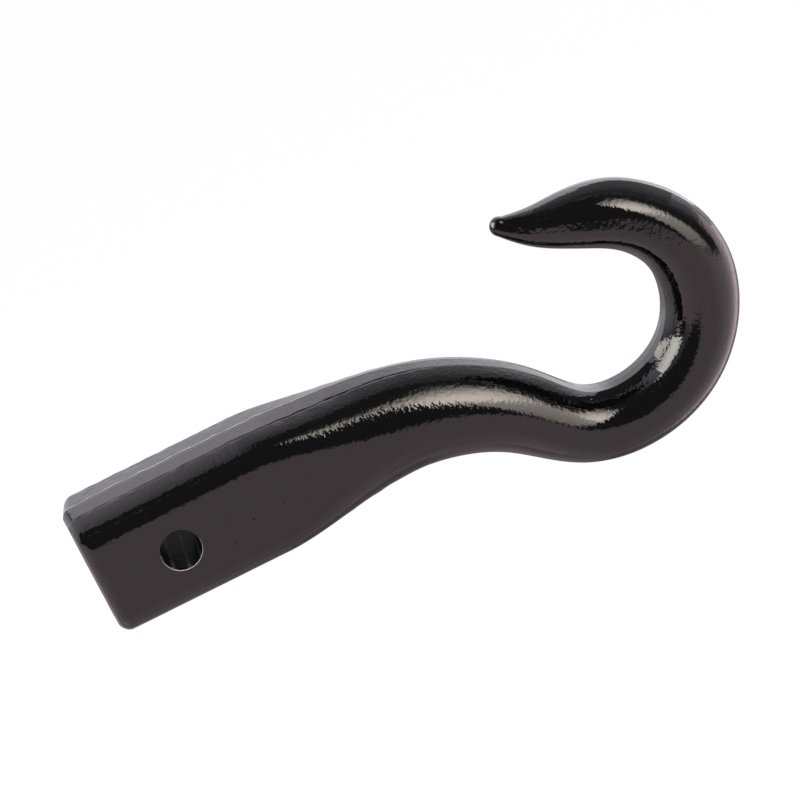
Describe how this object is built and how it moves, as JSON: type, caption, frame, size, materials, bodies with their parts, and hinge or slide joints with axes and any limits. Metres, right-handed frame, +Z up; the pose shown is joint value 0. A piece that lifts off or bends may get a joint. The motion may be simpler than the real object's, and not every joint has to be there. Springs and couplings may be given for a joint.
{
  "type": "recovery tow hook",
  "caption": "Forged recovery tow hook: a square receiver shank with a cross hole for a hitch pin, an arched neck and an open round hook with a tapered beak.",
  "frame": {"origin": "middle of the pin bore, in the middle of the shank's width", "axes": "+X along the shank towards the hook, +Y along the pin bore, +Z up, towards the open side of the bowl"},
  "size_m": [0.276, 0.0508, 0.11],
  "materials": {
    "gloss_black_paint": "gloss"
  },
  "bodies": {
    "root": {"hook_forging": "gloss_black_paint"}
  },
  "joints": []
}
